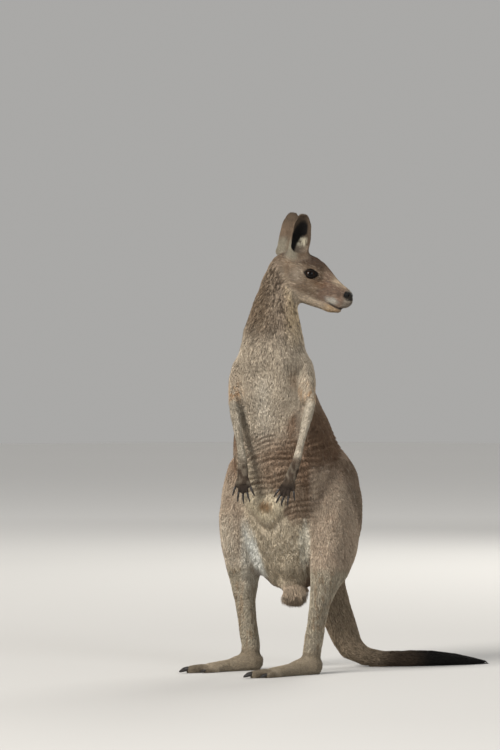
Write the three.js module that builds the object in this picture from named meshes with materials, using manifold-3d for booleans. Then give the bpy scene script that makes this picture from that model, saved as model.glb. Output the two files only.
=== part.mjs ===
// A life-size eastern grey kangaroo, a young male, standing tall on both hind feet and its tail.
// Units are millimetres. +Z is up and the floor is z = 0. The feet point roughly along -Y and the
// animal's left is +X. The pelvis, chest and head turn more and more to its left, so the head
// looks back over the left shoulder.
//
// Every soft part is lofted through elliptical sections (see loft). Neighbours are parted by thin
// cuts, so each part is one closed solid that touches no other.

import * as THREE from "three";
import { mergeVertices } from "three/addons/utils/BufferGeometryUtils.js";
import Module from "manifold-3d";

const wasm = await Module();
wasm.setup();

// ---------------------------------------------------------------- driving dimensions
const GAP = 0.4; // width of the cut between two neighbouring parts
const NECK_CUT_Z = 905; // trunk below, neck above
const KNEE_CUT_Z = 292; // thigh above, shank below
const ANKLE_CUT_Z = 64; // shank above, foot below
const HIP_TURN = 18; // degrees that the pelvis faces to the animal's left
const CHEST_TURN = 33;
const CHEST_AT = [7, -52, 0]; // axis of the chest seen from above
const HEAD_TURN = 135;
const HEAD_DROP = 22; // degrees that the muzzle points below the horizon
const HEAD_AT = [20, -36, 1124]; // middle of the skull's base
const EYE_RADIUS = 15;
const EYE_AT = [81, 36, 16]; // forward, sideways and up from the middle of the skull's base
const FOOT_TURN = { left: -9, right: -14 };
const FOOT_LENGTH = 242; // heel to the end of the long toe, without its claw
const FINGER_LENGTH = 30;
const FINGER_RADIUS = 5.5;
const HAND_CLAW_LENGTH = 27;

// ---------------------------------------------------------------- small helpers
const vec = (p) => new THREE.Vector3(...p);
const radians = THREE.MathUtils.degToRad;
const between = (a, b, f) => vec(a).lerp(vec(b), f).toArray();

// The level direction faced after a turn of so many degrees to the animal's left.
function facing(turn) {
  return new THREE.Vector3(Math.sin(radians(turn)), -Math.cos(radians(turn)), 0);
}

// A point given as distances to the left, forward and up in a frame turned to the left.
function inFrame(origin, turn, left, forward, up) {
  return vec(origin)
    .addScaledVector(facing(turn + 90), left)
    .addScaledVector(facing(turn), forward)
    .add(new THREE.Vector3(0, 0, up))
    .toArray();
}

// ---------------------------------------------------------------- solids
function solid(positions, triangles) {
  const raw = new THREE.BufferGeometry();
  raw.setAttribute("position", new THREE.Float32BufferAttribute(positions, 3));
  raw.setIndex(triangles);
  const g = mergeVertices(raw, 1e-3);
  const mesh = new wasm.Mesh({
    numProp: 3,
    vertProperties: g.attributes.position.array,
    triVerts: new Uint32Array(g.index.array),
  });
  return new wasm.Manifold(mesh);
}

// Closed solid lofted through stations [x, y, z, side, front, back, turn].
// side, front and back are the section's half sizes: to either side, towards the way it faces and
// away from it. It faces `turn` degrees to the left, or along `front` where that is given.
// square rounds a section towards a box above 2, and capA and capB round the two ends outwards
// through rings at the shares of their length given by capRings.
function loft(stations, options = {}, grow = 0) {
  const { sides = 12, front = null, square = 2, capA = 0, capB = 0, capRings = [0.6, 0.92] } = options;
  const rings = stations.map((s, i) => {
    const before = vec(stations[Math.max(i - 1, 0)]);
    const along = vec(stations[Math.min(i + 1, stations.length - 1)]).sub(before).normalize();
    const ahead = front ? vec(front) : facing(s[6]);
    ahead.addScaledVector(along, -ahead.dot(along)).normalize();
    return { at: vec(s), along, ahead, side: s[3] + grow, front: s[4] + grow, back: s[5] + grow };
  });
  const first = rings[0];
  const last = rings.at(-1);
  const capOf = (end, length, sign) =>
    capRings.map((f) => {
      const s = Math.sqrt(1 - f * f);
      const at = end.at.clone().addScaledVector(end.along, sign * f * (length + grow));
      return { ...end, at, side: end.side * s, front: end.front * s, back: end.back * s };
    });
  if (capA) rings.unshift(...capOf(first, capA, -1).reverse());
  if (capB) rings.push(...capOf(last, capB, 1));
  const positions = [];
  for (const r of rings) {
    const sideways = new THREE.Vector3().crossVectors(r.along, r.ahead);
    for (let j = 0; j < sides; j++) {
      const angle = (2 * Math.PI * j) / sides;
      const bulge = (w) => Math.sign(w) * Math.abs(w) ** (2 / square);
      const across = bulge(Math.cos(angle)) * r.side;
      const depth = bulge(Math.sin(angle)) * (Math.sin(angle) > 0 ? r.front : r.back);
      const p = r.at.clone().addScaledVector(sideways, across).addScaledVector(r.ahead, depth);
      positions.push(p.x, p.y, p.z);
    }
  }
  const poleA = first.at.clone().addScaledVector(first.along, capA ? -(capA + grow) : 0);
  const poleB = last.at.clone().addScaledVector(last.along, capB ? capB + grow : 0);
  const a = rings.length * sides;
  positions.push(...poleA.toArray(), ...poleB.toArray());
  const triangles = [];
  for (let i = 0; i < rings.length - 1; i++)
    for (let j = 0; j < sides; j++) {
      const p = i * sides + j;
      const q = i * sides + ((j + 1) % sides);
      triangles.push(p, q + sides, q, p, p + sides, q + sides);
    }
  for (let j = 0; j < sides; j++) {
    const next = (j + 1) % sides;
    triangles.push(a, j, next, a + 1, a - sides + next, a - sides + j);
  }
  return solid(positions, triangles);
}

// A shape is a function of how much it is grown, so that a neighbour can be cut clear of it.
const shape = (stations, options) => (grow = 0) => loft(stations, options, grow);
const cut = (whole, ...others) => others.reduce((left, other) => left.subtract(other(GAP)), whole);

// A block whose bottom face is centred on a point and faces away from a direction.
function block(point, direction, size, height) {
  const box = new THREE.BoxGeometry(size, size, height).translate(0, 0, height / 2);
  box.deleteAttribute("normal");
  box.deleteAttribute("uv");
  const up = new THREE.Vector3(0, 0, 1);
  box.applyQuaternion(new THREE.Quaternion().setFromUnitVectors(up, vec(direction).normalize()));
  box.translate(...point);
  return solid([...box.attributes.position.array], [...box.index.array]);
}
const slab = (low, high) => block([0, 0, low], [0, 0, 1], 3000, high - low);
const floor = slab(-400, 0);
const aboveFloor = (s) => s.subtract(floor);

// The largest piece of a solid that a cut has left in crumbs.
const largest = (s) => s.decompose().sort((p, q) => q.volume() - p.volume())[0];

// ---------------------------------------------------------------- trunk and neck
// One loft from the groin to the back of the skull, turning as it rises.
const torso = shape(
  [
    [-25, 48, 242, 66, 46, 58, HIP_TURN],
    [-25, 50, 285, 104, 86, 90, HIP_TURN],
    [-23, 50, 350, 116, 118, 116, HIP_TURN],
    [-20, 44, 440, 134, 142, 140, HIP_TURN],
    [-16, 32, 530, 148, 150, 152, HIP_TURN],
    [-12, 14, 610, 150, 144, 148, 20],
    [-5, -10, 680, 138, 130, 135, 25],
    [1, -32, 740, 118, 119, 122, 29],
    [6, -48, 795, 103, 111, 113, 32],
    [7, -57, 870, 101, 98, 102, 38],
    [8, -54, 955, 84, 81, 83, 66],
    [11, -48, 1012, 63, 69, 70, 95],
    [16, -42, 1055, 52, 62, 60, 118],
    [26, -32, 1130, 42, 48, 48, HEAD_TURN],
  ],
  { sides: 16, square: 2.15, capA: 18, capB: 24 },
);
const scrotum = shape(
  [[14, 16, 232, 20, 20, 20, HIP_TURN], [14, 16, 206, 30, 29, 29, HIP_TURN]],
  { sides: 8, capA: 12, capB: 22 },
);

// ---------------------------------------------------------------- legs
// Each leg has its own line from hip to ankle. Both share one set of sections.
const LEG_LINE = {
  left: [
    [62, 116, 610], [74, 116, 560], [83, 112, 490], [98, 95, 420], [116, 69, 350], [130, 39, 295],
    [138, 14, 250], [128, 5, 192], [114, 7, 142], [104, 6, 96], [98, 3, 55],
  ],
  right: [
    [-106, 2, 645], [-120, -8, 580], [-127, -16, 490], [-130, -24, 420], [-134, -26, 350], [-139, -24, 295],
    [-142, -23, 250], [-135, -26, 192], [-124, -29, 142], [-116, -29, 96], [-112, -24, 55],
  ],
};
const LEG_SECTION = [
  [42, 50, 54], [62, 86, 88], [71, 108, 112], [70, 108, 112], [62, 92, 102], [50, 66, 78],
  [37, 45, 54], [26, 31, 37], [23, 27, 33], [23, 27, 33], [25, 29, 35],
];
const KNEE = 5; // the station from which the turn of the foot begins

function legShape(side) {
  const line = LEG_LINE[side];
  const stations = line.map((at, i) => {
    const down = Math.max(0, i - KNEE) / (line.length - 1 - KNEE);
    return [...at, ...LEG_SECTION[i], THREE.MathUtils.lerp(HIP_TURN, FOOT_TURN[side], down)];
  });
  return shape(stations, { sides: 12, square: 2.2, capA: 26, capB: 18, capRings: [0.75] });
}

// Foot: the long instep, the strong fourth toe, the shorter fifth toe outside it and the slim pair
// of joined grooming toes inside it. Distances run forward from the heel, then outward, then up.
const HEEL = { left: [104, 34, 0], right: [-105, 10, 0] };

function footShapes(side) {
  const outward = side === "left" ? 1 : -1;
  const station = ([forward, out, height, half, above, below]) => [
    ...inFrame(HEEL[side], FOOT_TURN[side], out * outward, forward, height), half, above, below,
  ];
  const along = (rows, options) => shape(rows.map(station), { front: [0, 0, 1], square: 2.3, ...options });
  const claw = (forward, out, height, length, radius) =>
    along(
      [
        [forward, out, height, radius, radius * 1.1, radius],
        [forward + length * 0.5, out, height * 0.86, radius * 0.8, radius * 0.9, radius],
        [forward + length, out, height * 0.42, radius * 0.2, radius * 0.3, radius * 0.3],
      ],
      { sides: 5, square: 2 },
    );
  return {
    instep: along(
      [
        [6, 0, 24, 20, 20, 28], [30, 0, 28, 27, 30, 32], [60, 0, 26, 25, 24, 31], [100, 1, 20, 23, 15, 24],
        [140, 3, 17, 26, 12, 21], [165, 3, 15, 27, 11, 19],
      ],
      { sides: 10, capA: 10, capB: 14, capRings: [0.75] },
    ),
    long_toe: along([[156, 3, 14, 14, 11, 18], [208, 3, 13, 15, 11, 17], [230, 3, 12, 14, 9, 16]], {
      sides: 8, capA: 6, capB: FOOT_LENGTH - 230, capRings: [0.75],
    }),
    outer_toe: along([[150, 21, 11, 9, 8, 15], [196, 23, 10, 9.5, 7, 14]], {
      sides: 7, capA: 5, capB: 8, capRings: [0.75],
    }),
    grooming_toes: along([[150, -18, 10, 8, 7, 14], [192, -20, 9, 7, 5, 13]], {
      sides: 7, capA: 5, capB: 7, capRings: [0.75],
    }),
    long_toe_claw: claw(FOOT_LENGTH - 8, 3, 12, 28, 6),
    outer_toe_claw: claw(200, 23, 9, 20, 4.2),
    grooming_claw_inner: claw(195, -23, 8, 12, 2.2),
    grooming_claw_outer: claw(195, -17, 8, 12, 2.2),
  };
}
const TOE_CLAWS = {
  long_toe: ["long_toe_claw"],
  outer_toe: ["outer_toe_claw"],
  grooming_toes: ["grooming_claw_inner", "grooming_claw_outer"],
};

// ---------------------------------------------------------------- tail
// It drops behind the legs, bends on the floor and lies out to the animal's left. The front of each
// section is the tail's underside.
const tail = shape(
  [
    [-28, 113, 410, 72, 84, 84],
    [-22, 169, 330, 62, 70, 72],
    [-28, 192, 270, 54, 60, 62],
    [-29, 204, 221, 49, 54, 56],
    [-23, 218, 173, 46, 49, 52],
    [-12, 231, 127, 44, 46, 49],
    [0, 243, 84, 42, 44, 46],
    [12, 254, 54, 40, 39, 42],
    [36, 282, 30, 35, 29, 32],
    [66, 322, 22, 31, 24, 26],
    [108, 378, 22, 28, 23, 26],
    [148, 442, 21, 24, 22, 25],
    [180, 502, 17, 19, 17, 20],
    [201, 552, 11, 13, 12, 14],
    [214, 596, 6, 7, 7, 8],
  ],
  { sides: 10, front: [0, 0, -1], capA: 20, capB: 10 },
);
const TAIL_CUTS = [
  { at: [-18, 224, 150], normal: [6, 14, -45] },
  { at: [108, 378, 22], normal: [40, 60, 0] },
];

// ---------------------------------------------------------------- arms
const ARM_LINE = {
  left: { elbow: [139, -38, 757], wrist: [135, -91, 590], palm: [115, -106, 521] },
  right: { elbow: [-32, -169, 757], wrist: [4, -169, 590], palm: [3, -167, 530] },
};

// The upper arm leaves the shoulder on the side of the chest, the forearm and hand hang free.
function armShapes(side) {
  const outward = side === "left" ? 1 : -1;
  const chest = (left, forward, z) => inFrame(CHEST_AT, CHEST_TURN, left * outward, forward, z);
  const { elbow, wrist, palm } = ARM_LINE[side];
  const limb = (rows, options) => shape(rows.map(([at, ...half]) => [...at, ...half, CHEST_TURN]), options);
  return {
    upper: limb(
      [
        [chest(62, 4, 892), 30, 40, 40],
        [chest(82, 10, 855), 35, 46, 48],
        [chest(96, 20, 815), 31, 40, 44],
        [between(chest(100, 34, 785), elbow, 0.35), 23, 28, 32],
        [elbow, 17, 19, 22],
      ],
      { sides: 8, capA: 18, capB: 14 },
    ),
    lower: limb(
      [
        [elbow, 17, 19, 20],
        [between(elbow, wrist, 0.25), 17, 18, 18],
        [between(elbow, wrist, 0.7), 12, 12, 12],
        [wrist, 14, 10, 11],
      ],
      { sides: 8, capA: 10, capB: 6 },
    ),
    palm: limb(
      [[wrist, 14, 10, 11], [between(wrist, palm, 0.5), 16, 10, 11], [palm, 17, 8, 9]],
      { sides: 8, capA: 3, capB: 8, capRings: [0.75] },
    ),
  };
}

// Five fingers fan out from the end of the palm, each with a long curved claw.
function fingerShapes(side) {
  const { wrist, palm } = ARM_LINE[side];
  const down = vec(palm).sub(vec(wrist)).normalize();
  const ahead = facing(CHEST_TURN);
  const sideways = facing(CHEST_TURN + 90).multiplyScalar(side === "left" ? 1 : -1);
  return [-2, -1, 0, 1, 2].map((place) => {
    const line = down.clone().addScaledVector(sideways, place * 0.2).normalize();
    const knuckle = vec(palm)
      .addScaledVector(sideways, place * 6.6)
      .addScaledVector(down, place * place * -2.5);
    const end = knuckle.clone().addScaledVector(line, FINGER_LENGTH - 2.2 * place * place);
    const bend = end.clone().addScaledVector(line, HAND_CLAW_LENGTH / 2).addScaledVector(ahead, 0.5);
    const tip = end.clone().addScaledVector(line, HAND_CLAW_LENGTH).addScaledVector(ahead, -7);
    const digit = (rows, options) =>
      shape(rows.map(([at, w, d]) => [...at.toArray(), w, d, d, CHEST_TURN]), options);
    return {
      finger: digit(
        [[knuckle, FINGER_RADIUS, FINGER_RADIUS], [end, FINGER_RADIUS * 0.85, FINGER_RADIUS * 0.9]],
        { sides: 5, capB: 3, capRings: [0.7] },
      ),
      claw: digit([[end, 2.6, 3.4], [bend, 2.1, 2.7], [tip, 0.6, 0.7]], { sides: 4 }),
    };
  });
}

// ---------------------------------------------------------------- head
// In the head's own frame, s runs forward along the muzzle, l to its left and v up.
const headForward = facing(HEAD_TURN)
  .multiplyScalar(Math.cos(radians(HEAD_DROP)))
  .add(new THREE.Vector3(0, 0, -Math.sin(radians(HEAD_DROP))));
const headLeft = facing(HEAD_TURN + 90);
const headUp = new THREE.Vector3().crossVectors(headForward, headLeft);

function inHead(s, l, v) {
  return vec(HEAD_AT)
    .addScaledVector(headForward, s)
    .addScaledVector(headLeft, l)
    .addScaledVector(headUp, v)
    .toArray();
}

// Sections [s, half width, top, bottom]: top and bottom are heights above and below the axis.
function headLoft(sections, options) {
  const rows = sections.map(([s, half, top, bottom]) => {
    const middle = (top + bottom) / 2;
    return [...inHead(s, 0, middle), half, top - middle, middle - bottom];
  });
  return shape(rows, { front: headUp.toArray(), square: 2.3, ...options });
}

const skull = headLoft(
  [
    [-14, 36, 38, -36], [12, 48, 56, -56], [38, 51, 66, -66], [62, 50, 71, -66], [85, 46, 70, -60],
    [106, 40, 62, -52], [129, 33, 48, -44], [152, 28, 34, -40], [176, 25, 25.5, -40], [197, 23.5, 18.5, -41],
    [211, 19.5, 4, -36],
  ],
  { sides: 14, capA: 22, capB: 9 },
);
const jaw = headLoft(
  [
    [52, 36, -40, -74], [80, 36, -40, -70], [110, 28, -38, -65], [140, 22, -36, -62.5],
    [168, 20, -36, -63], [190, 17, -36, -54.5],
  ],
  { sides: 10, capA: 16, capB: 11 },
);
const headSolid = (grow) => skull(grow).add(jaw(grow));
const nosePad = headLoft(
  [[190, 25, 12.5, -13], [200, 22, 14.5, -14], [208, 16.5, 11, -13]],
  { sides: 8, capB: 5, capRings: [0.7] },
);

function eyeShape(side) {
  const outward = side === "left" ? 1 : -1;
  const r = EYE_RADIUS;
  const [forward, sideways, up] = EYE_AT;
  const rows = [-1, 1].map((d) => [...inHead(forward, sideways * outward + d, up), r, r, r]);
  return shape(rows, { sides: 8, front: headUp.toArray(), capA: r - 1, capB: r - 1, capRings: [0.45, 0.85] });
}

// Ear: a tall cup, open towards its turn. The hollow is a second loft moved towards the opening.
function earBody({ base, tip, turn }) {
  const sections = [
    [0, 34, 16, 22], [0.22, 32.5, 15, 20.5], [0.5, 31, 10, 17], [0.76, 28, 7, 13], [0.93, 19, 5, 9],
  ];
  const walls = sections.map(([f, side, front, back]) => [...between(base, tip, f), side, front, back, turn]);
  const hollows = sections
    .slice(1)
    .map(([f, side, front, back]) => [
      ...between(base, tip, f), Math.max(side - 5, 3), front + 22, Math.max(back - 5, 1), turn,
    ]);
  const wall = shape(walls, { sides: 10, capA: 8, capB: 12, capRings: [0.75] });
  const hollow = shape(hollows, { sides: 10, capA: 16, capB: 6, capRings: [0.75] });
  return { wall, cup: () => wall().subtract(hollow()) };
}
const ears = {
  right: earBody({ base: inHead(31, -30, 50), tip: [96, -22, 1272], turn: 62 }),
  left: earBody({ base: inHead(0, 28, 46), tip: [11, 21, 1283], turn: 208 }),
};

// ---------------------------------------------------------------- colours, roughness
const finish = (color, roughness) => new THREE.MeshStandardMaterial({ color, roughness, metalness: 0 });
const BACK = finish("#7f6a5a", 0.9);
const FLANK = finish("#97836f", 0.9);
const PALE = finish("#b3a490", 0.9);
const FACE = finish("#8d7a6c", 0.88);
const PAW = finish("#4a3d35", 0.85);
const TAIL_TIP = finish("#2a211d", 0.88);
const CLAW = finish("#1d1714", 0.45);
const EYE = finish("#120c09", 0.12);
const NOSE = finish("#1b1614", 0.5);

// ---------------------------------------------------------------- assembly
const kangaroo = new THREE.Group();

function add(name, body, material) {
  const m = largest(body).getMesh();
  const g = new THREE.BufferGeometry();
  const xyz = new Float32Array(m.numVert * 3);
  for (let i = 0; i < m.numVert; i++) {
    xyz.set(m.vertProperties.subarray(i * m.numProp, i * m.numProp + 3), i * 3);
  }
  g.setAttribute("position", new THREE.BufferAttribute(xyz, 3));
  g.setIndex(new THREE.BufferAttribute(new Uint32Array(m.triVerts), 1));
  g.computeVertexNormals();
  const mesh = new THREE.Mesh(g, material);
  mesh.name = name;
  kangaroo.add(mesh);
}

const half = GAP / 2;
const SIDES = ["left", "right"];
const legs = { left: legShape("left"), right: legShape("right") };
const arms = { left: armShapes("left"), right: armShapes("right") };
const eyes = { left: eyeShape("left"), right: eyeShape("right") };
const shoulders = [arms.left.upper, arms.right.upper];

const below = torso().intersect(slab(0, NECK_CUT_Z - half));
add("trunk", cut(below, legs.left, legs.right, ...shoulders, scrotum), FLANK);
add("neck", cut(torso().intersect(slab(NECK_CUT_Z + half, 2000)), headSolid, ...shoulders), FLANK);
add("scrotum", scrotum(), PALE);

const tailFree = cut(aboveFloor(tail()), torso, legs.left, legs.right);
const [rootEnds, tipStarts] = TAIL_CUTS.map(({ at, normal }) => {
  const direction = vec(normal).normalize();
  const plane = (sign) => vec(at).addScaledVector(direction, sign * half).toArray();
  return {
    before: block(plane(-1), direction.clone().negate().toArray(), 1500, 1500),
    beyond: block(plane(1), direction.toArray(), 1500, 1500),
  };
});
add("tail_root", tailFree.intersect(rootEnds.before), FLANK);
add("tail_middle", tailFree.intersect(rootEnds.beyond).intersect(tipStarts.before), BACK);
add("tail_end", tailFree.intersect(tipStarts.beyond), TAIL_TIP);

for (const side of SIDES) {
  const leg = legs[side]();
  add(`thigh_${side}`, leg.intersect(slab(KNEE_CUT_Z + half, 2000)), FLANK);
  add(`shank_${side}`, leg.intersect(slab(ANKLE_CUT_Z + half, KNEE_CUT_Z - half)), PALE);
  const foot = footShapes(side);
  const heel = leg.add(foot.instep()).intersect(slab(0, ANKLE_CUT_Z - half));
  add(`foot_${side}`, heel, PALE);
  for (const [toe, claws] of Object.entries(TOE_CLAWS)) {
    const beside = toe === "long_toe" ? [foot.instep] : [foot.instep, foot.long_toe];
    const nails = claws.map((name) => foot[name]);
    add(`${toe}_${side}`, aboveFloor(cut(foot[toe](), ...beside, ...nails)), PAW);
    for (const name of claws) add(`${name}_${side}`, aboveFloor(foot[name]()), CLAW);
  }

  const { upper, lower, palm } = arms[side];
  add(`upper_arm_${side}`, cut(upper(), lower), FLANK);
  add(`forearm_${side}`, cut(lower(), palm), PALE);
  const digits = fingerShapes(side);
  const hand = digits.reduce((sum, { finger }) => sum.add(finger()), palm());
  add(`hand_${side}`, cut(hand, ...digits.map(({ claw }) => claw)), PAW);
  digits.forEach(({ claw }, i) => add(`hand_claw_${side}_${i + 1}`, claw(), CLAW));
}

add("head", cut(skull(), eyes.left, eyes.right, ears.left.wall, ears.right.wall, nosePad), FACE);
add("lower_jaw", cut(jaw(), skull), PALE);
add("nose", nosePad(), NOSE);
for (const side of SIDES) {
  add(`eye_${side}`, eyes[side](), EYE);
  add(`ear_${side}`, ears[side].cup(), BACK);
}

// The origin is on the floor under the middle of the whole animal.
const middle = new THREE.Box3().setFromObject(kangaroo).getCenter(new THREE.Vector3());
for (const { geometry } of kangaroo.children) geometry.translate(-middle.x, -middle.y, 0);

export default kangaroo;
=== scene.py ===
# A life-size eastern grey kangaroo, dressed around its imported solids.
#
# All modelling is in millimetres in the solids' own design frame: +Z up, the feet roughly along
# -Y and the animal's left on +X. place() turns such points into metres in the row's frame.
#
# The flesh solids are fused into one skin, smoothed, sculpted and drawn in by the coat's depth.
# Tufts grow from that skin along the lie of the coat. One function, markings_and_painted_light(),
# colours both; in places it paints light and shade into the colour.

import math

import bpy
import numpy as np
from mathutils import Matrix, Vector
from mathutils.bvhtree import BVHTree


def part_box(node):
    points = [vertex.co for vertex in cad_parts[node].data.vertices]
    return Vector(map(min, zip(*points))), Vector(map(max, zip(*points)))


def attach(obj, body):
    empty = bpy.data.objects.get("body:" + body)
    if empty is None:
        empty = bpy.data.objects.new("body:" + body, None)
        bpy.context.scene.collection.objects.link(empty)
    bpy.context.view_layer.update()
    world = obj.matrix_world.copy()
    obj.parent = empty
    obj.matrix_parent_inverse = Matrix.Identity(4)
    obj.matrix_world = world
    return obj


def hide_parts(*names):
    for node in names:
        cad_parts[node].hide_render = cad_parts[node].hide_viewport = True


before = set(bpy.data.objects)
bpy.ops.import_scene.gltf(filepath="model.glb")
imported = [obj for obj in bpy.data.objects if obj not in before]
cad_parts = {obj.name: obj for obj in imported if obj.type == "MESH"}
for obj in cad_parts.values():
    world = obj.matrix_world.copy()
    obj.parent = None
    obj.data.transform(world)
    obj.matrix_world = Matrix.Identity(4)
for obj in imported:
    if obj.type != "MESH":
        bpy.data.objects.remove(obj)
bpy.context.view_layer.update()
rng = np.random.default_rng(7)

# ---------------- driving dimensions
# Turns are in degrees from the front, -Y, towards the animal's left.
HEAD_AT = np.array([20.0, -36.0, 1124.0])
HEAD_TURN = 135
HEAD_DROP = 22
EYE_AT = (81.0, 36.0, 16.0)  # forward, sideways and up in the head's frame
EYE_RADIUS = 15.0
FOOT_TURN = {"left": -9, "right": -14}
BETWEEN_LEGS = -8  # the limbs of the left side lie at a greater x
VOXEL = 2.0  # cell of the fused skin
COARSE_VOXEL = 6.0  # cell of the surface that carries the regions and the unwrap
FINE_VOXEL = 0.7  # cell of the nose and the claws
SEAM_GROWTH = 0.6  # closes the thin cuts between the solids before they are fused
SMOOTHING_STEPS = 440
FLOOR_GAP = 0.4  # the skin and coat lie at least this far above the floor
WAIST = 640  # height from which the trunk's coat is chest and shoulders
SKIN_SHADE = 0.78  # the skin's tone below the coat's

# Each region of flesh: how strongly it is smoothed, the coat's depth, its tufts' length, width
# and spacing in millimetres, and how much the tone of its locks varies.
SMOOTHING, DEPTH, LENGTH, WIDTH, SPACING, VARIED = range(6)
REGIONS = {
    "trunk": (0.90, 6.0, 20.0, 1.6, 2.42, 0.13),
    "neck": (0.30, 7.0, 16.0, 1.7, 2.4, 0.22),
    "thigh": (0.80, 5.0, 15.0, 1.7, 2.66, 0.14),
    "shank": (0.09, 3.2, 12.0, 1.7, 2.68, 0.18),
    "foot": (0.05, 1.8, 7.0, 1.3, 2.2, 0.16),
    "toe": (0.03, 1.2, 4.5, 1.1, 2.2, 0.14),
    "tail": (0.25, 5.0, 15.0, 2.0, 3.1, 0.15),
    "tail_end": (0.08, 3.4, 16.0, 2.0, 2.7, 0.18),
    "upper_arm": (0.50, 4.5, 15.0, 1.7, 2.45, 0.15),
    "forearm": (0.04, 2.2, 9.0, 1.3, 2.1, 0.17),
    "hand": (0.01, 0.2, 4.6, 1.0, 2.1, 0.14),
    "head": (0.10, 1.7, 7.0, 1.1, 1.75, 0.22),
    "jaw": (0.06, 1.3, 6.0, 1.0, 1.75, 0.17),
    "ear": (0.02, 0.5, 5.5, 1.0, 1.9, 0.15),
    "scrotum": (0.12, 6.5, 21.0, 1.7, 2.5, 0.18),
}
REGION_NAMES = list(REGIONS)
TRAITS = np.array(list(REGIONS.values()))
SHORT_COATED = ("foot", "toe", "forearm", "hand", "head", "jaw", "ear")


def region_of(node):
    """The region of a flesh solid: the longest region name that its own name holds."""
    return max((r for r in REGION_NAMES if r in node), key=len, default="trunk")


FLESH = sorted(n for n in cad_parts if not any(w in n for w in ("claw", "eye", "nose")))
CLAWS = sorted(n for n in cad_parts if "claw" in n)


# ---------------- the design frame
def facing(turn):
    return np.array([math.sin(math.radians(turn)), -math.cos(math.radians(turn)), 0.0])


DOWN = np.array([0.0, 0.0, -1.0])
CAMERA_SIDE = facing(45)  # from the animal towards the camera
CAMERA_RIGHT = facing(135)  # to the right as the camera sees the animal
drop = math.radians(HEAD_DROP)
HEAD_FORWARD = facing(HEAD_TURN) * math.cos(drop) + DOWN * math.sin(drop)
HEAD_LEFT = facing(HEAD_TURN + 90)
HEAD_UP = np.cross(HEAD_FORWARD, HEAD_LEFT)
HEAD_AXES = np.array([HEAD_FORWARD, HEAD_LEFT, HEAD_UP])


def in_head(forward, left, up):
    """The place that lies so far forward, left and up in the head's frame."""
    return HEAD_AT + np.array([forward, left, up]) @ HEAD_AXES


def head_frame(points):
    """How far forward, left and up points lie in the head's frame."""
    return ((points - HEAD_AT) @ HEAD_AXES.T).T


EYE_LEFT_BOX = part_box("eye_left")
SHIFT = np.array((EYE_LEFT_BOX[0] + EYE_LEFT_BOX[1]) / 2) - in_head(*EYE_AT) / 1000
SHIFT[2] = 0.0


def place(points):
    return np.asarray(points) / 1000 + SHIFT


def read(rows, attribute, width, kind=np.float32):
    """One attribute of all vertices, triangles or loops of a mesh."""
    values = np.zeros(len(rows) * width, kind)
    rows.foreach_get(attribute, values)
    return values.reshape(-1, width)


def cad_mesh(node):
    """A CAD node's vertices in the design frame, and its triangles."""
    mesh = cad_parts[node].data
    mesh.calc_loop_triangles()
    triangles = read(mesh.loop_triangles, "vertices", 3, np.int32)
    return (read(mesh.vertices, "co", 3) - SHIFT) * 1000, triangles


# The trunk's axis: height, x, y and the turn to the left that it faces.
SPINE = np.array([
    [242, -25, 48, 18], [440, -20, 44, 18], [530, -16, 32, 18], [610, -12, 14, 20], [680, -5, -10, 25],
    [740, 1, -32, 29], [795, 6, -48, 32], [870, 7, -57, 38], [955, 8, -54, 66], [1012, 11, -48, 95],
    [1055, 16, -42, 118], [1130, 26, -32, 135],
], float)

# The tail's line from its root to its tip.
TAIL_LINE = np.array([
    [-28, 113, 410], [-28, 192, 270], [-23, 218, 173], [0, 243, 84], [36, 282, 30], [108, 378, 22],
    [180, 502, 17], [214, 596, 6],
], float)

# Each ear's base and tip, and the turns of its opening and of its edge towards the face.
EARS = {
    "left": (in_head(0, 28, 46), np.array([11.0, 21.0, 1283.0]), 208, 118),
    "right": (in_head(31, -30, 50), np.array([96.0, -22.0, 1272.0]), 62, 152),
}


def around_spine(points):
    """How far points lie in front of the trunk's axis and to the animal's left of it."""
    x, y, turn = (np.interp(points[:, 2], SPINE[:, 0], SPINE[:, k]) for k in (1, 2, 3))
    sin, cos = np.sin(np.radians(turn)), np.cos(np.radians(turn))
    dx, dy = points[:, 0] - x, points[:, 1] - y
    return dx * sin - dy * cos, dx * cos + dy * sin


def along_tail(points):
    """The tail's direction at the nearest place of its line, and the share of its length there."""
    steps = np.diff(TAIL_LINE, axis=0)
    lengths = np.linalg.norm(steps, axis=1)
    best = np.full(len(points), np.inf)
    direction = np.zeros((len(points), 3))
    run = np.zeros(len(points))
    for i, step in enumerate(steps):
        t = np.clip((points - TAIL_LINE[i]) @ step / lengths[i] ** 2, 0, 1)
        away = np.linalg.norm(points - TAIL_LINE[i] - t[:, None] * step, axis=1)
        nearer = away < best
        best[nearer] = away[nearer]
        direction[nearer] = step / lengths[i]
        run[nearer] = (lengths[:i].sum() + t[nearer] * lengths[i]) / lengths.sum()
    return direction, run


def ear_frame(points, side):
    """Where points lie in an ear: their share of its height, and how far towards the face and
    towards the opening they are from its axis. The two directions follow."""
    base, tip, opening_turn, face_turn = EARS[side]
    height = np.linalg.norm(tip - base)
    up = (tip - base) / height
    faceward, opening = facing(face_turn), facing(opening_turn)
    away = points - base
    risen = away @ up
    away = away - np.outer(risen, up)
    return risen / height, away @ faceward, away @ opening, faceward, opening


def ear_inside(points, normals, side):
    """1 on the inner face of an ear's cup and 0 on its back."""
    _, across, out, faceward, opening = ear_frame(points, side)
    towards = -across[:, None] * faceward + (7 - out)[:, None] * opening
    towards /= np.linalg.norm(towards, axis=1)[:, None] + 1e-9
    return step((towards * normals).sum(1), 0.0, 0.35)


def long_haired(points):
    """1 where the cream hairs at the front of the ear's inside grow long."""
    total = np.zeros(len(points))
    for side in EARS:
        f, across, out, _, _ = ear_frame(points, side)
        here = band(f, 0.05, 0.15, 0.42, 0.5) * step(across + 0.3 * out, -14, -4)
        total = np.maximum(total, here * (np.abs(across) < 40))
    return total


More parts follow.
